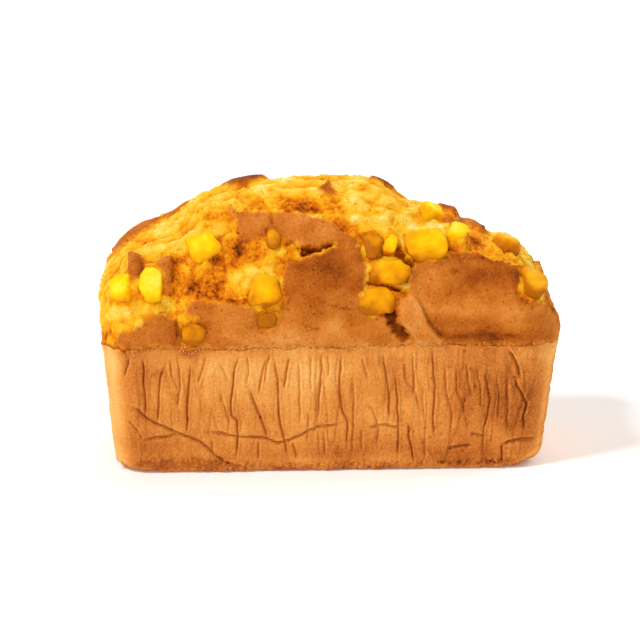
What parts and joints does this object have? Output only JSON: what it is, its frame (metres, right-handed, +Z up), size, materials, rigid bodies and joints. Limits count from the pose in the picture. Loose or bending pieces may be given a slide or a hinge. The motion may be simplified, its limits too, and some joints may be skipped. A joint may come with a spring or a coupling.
{
  "type": "fruit pound cake loaf",
  "caption": "Whole pound cake loaf with straight flaring sides, a burst domed top in browned crust plates, and dice of yellow fruit baked into the top.",
  "frame": {"origin": "middle of the flat base that the loaf stands on", "axes": "+X along the loaf, +Y towards the back, +Z up; the side shown in the picture faces -Y"},
  "size_m": [0.1674, 0.0862, 0.1025],
  "materials": {
    "cake": "baked crust, matte, with a torn golden crumb",
    "fruit": "moist yellow fruit, softly glossy"
  },
  "bodies": {
    "root": {"loaf": "cake", "fruit_die_01": "fruit", "fruit_die_02": "fruit", "fruit_die_03": "fruit", "fruit_die_04": "fruit", "fruit_die_05": "fruit", "fruit_die_06": "fruit", "fruit_die_07": "fruit", "fruit_die_08": "fruit", "fruit_die_09": "fruit", "fruit_die_10": "fruit", "fruit_die_11": "fruit", "fruit_die_12": "fruit", "fruit_die_13": "fruit", "fruit_die_14": "fruit", "fruit_die_15": "fruit", "fruit_die_16": "fruit", "fruit_die_17": "fruit", "fruit_die_18": "fruit", "fruit_die_19": "fruit", "fruit_die_20": "fruit", "fruit_die_21": "fruit", "fruit_die_22": "fruit", "fruit_die_23": "fruit", "fruit_die_24": "fruit"}
  },
  "joints": []
}
